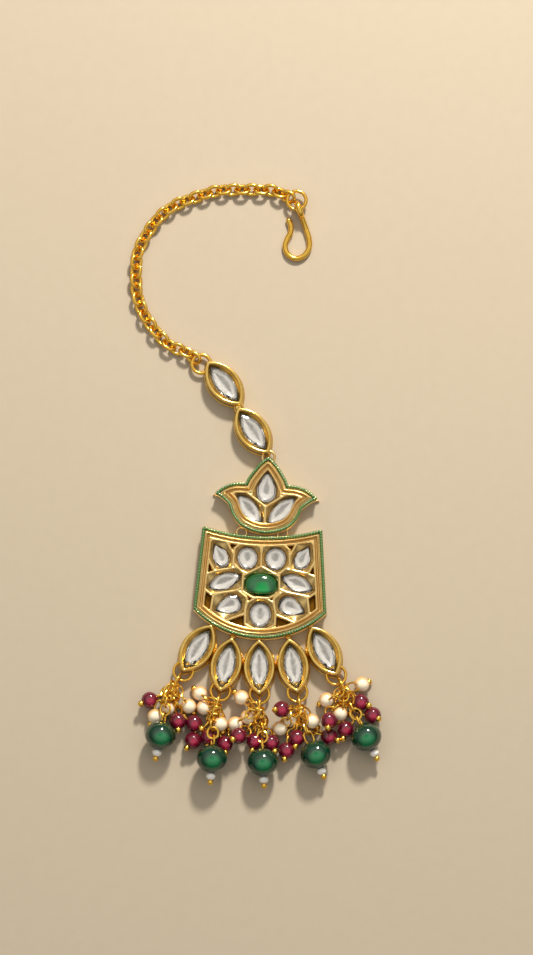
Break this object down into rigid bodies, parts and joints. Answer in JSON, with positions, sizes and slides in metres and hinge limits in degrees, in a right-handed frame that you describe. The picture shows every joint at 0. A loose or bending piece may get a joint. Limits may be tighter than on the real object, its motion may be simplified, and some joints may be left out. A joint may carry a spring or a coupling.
{
  "type": "maang tikka",
  "caption": "Forehead ornament: hair hook, cable chain, linked marquise settings, lotus and enamel-edged plaque of clear stones, marquise drops and a fringe of beads.",
  "frame": {"origin": "middle of the plaque's flat back", "axes": "+Y from the bead fringe towards the hair hook, +Z out of the stones, away from the surface it lies on"},
  "size_m": [0.0629, 0.154, 0.0089],
  "materials": {
    "gold": "bright gold plate, light wear",
    "enamelled_gold": "gold plate with a green enamel rope edge",
    "clear_stone": "polished, foil-backed",
    "green_stone": "polished, cloudy green",
    "red_bead": "polished, cloudy red",
    "pearl": "satin nacre"
  },
  "bodies": {
    "root": {"hair_hook": "gold", "hook_ring": "gold", "chain": "gold", "chain_ring": "gold", "link_frame": "gold", "drop_ring_1": "gold", "drop_ring_2": "gold", "drop_ring_3": "gold", "drop_ring_4": "gold", "drop_ring_5": "gold", "lotus_frame": "enamelled_gold", "pendant_frame": "enamelled_gold", "link_stone_1": "clear_stone", "link_stone_2": "clear_stone", "lotus_stone_1": "clear_stone", "lotus_stone_2": "clear_stone", "lotus_stone_3": "clear_stone", "plaque_stone_1": "clear_stone", "plaque_stone_2": "clear_stone", "plaque_stone_3": "clear_stone", "plaque_stone_4": "clear_stone", "plaque_stone_5": "clear_stone", "plaque_stone_6": "clear_stone", "plaque_stone_7": "clear_stone", "plaque_stone_8": "clear_stone", "plaque_stone_9": "clear_stone", "drop_stone_1": "clear_stone", "drop_stone_2": "clear_stone", "drop_stone_3": "clear_stone", "drop_stone_4": "clear_stone", "drop_stone_5": "clear_stone", "plaque_emerald": "green_stone", "green_drop_1": "green_stone", "green_drop_2": "green_stone", "green_drop_3": "green_stone", "green_drop_4": "green_stone", "green_drop_5": "green_stone", "pearl_bunch_1": "pearl", "pearl_bunch_2": "pearl", "pearl_bunch_3": "pearl", "pearl_bunch_4": "pearl", "pearl_bunch_5": "pearl", "ruby_bunch_1": "red_bead", "ruby_bunch_2": "red_bead", "ruby_bunch_3": "red_bead", "ruby_bunch_4": "red_bead", "ruby_bunch_5": "red_bead"}
  },
  "joints": []
}
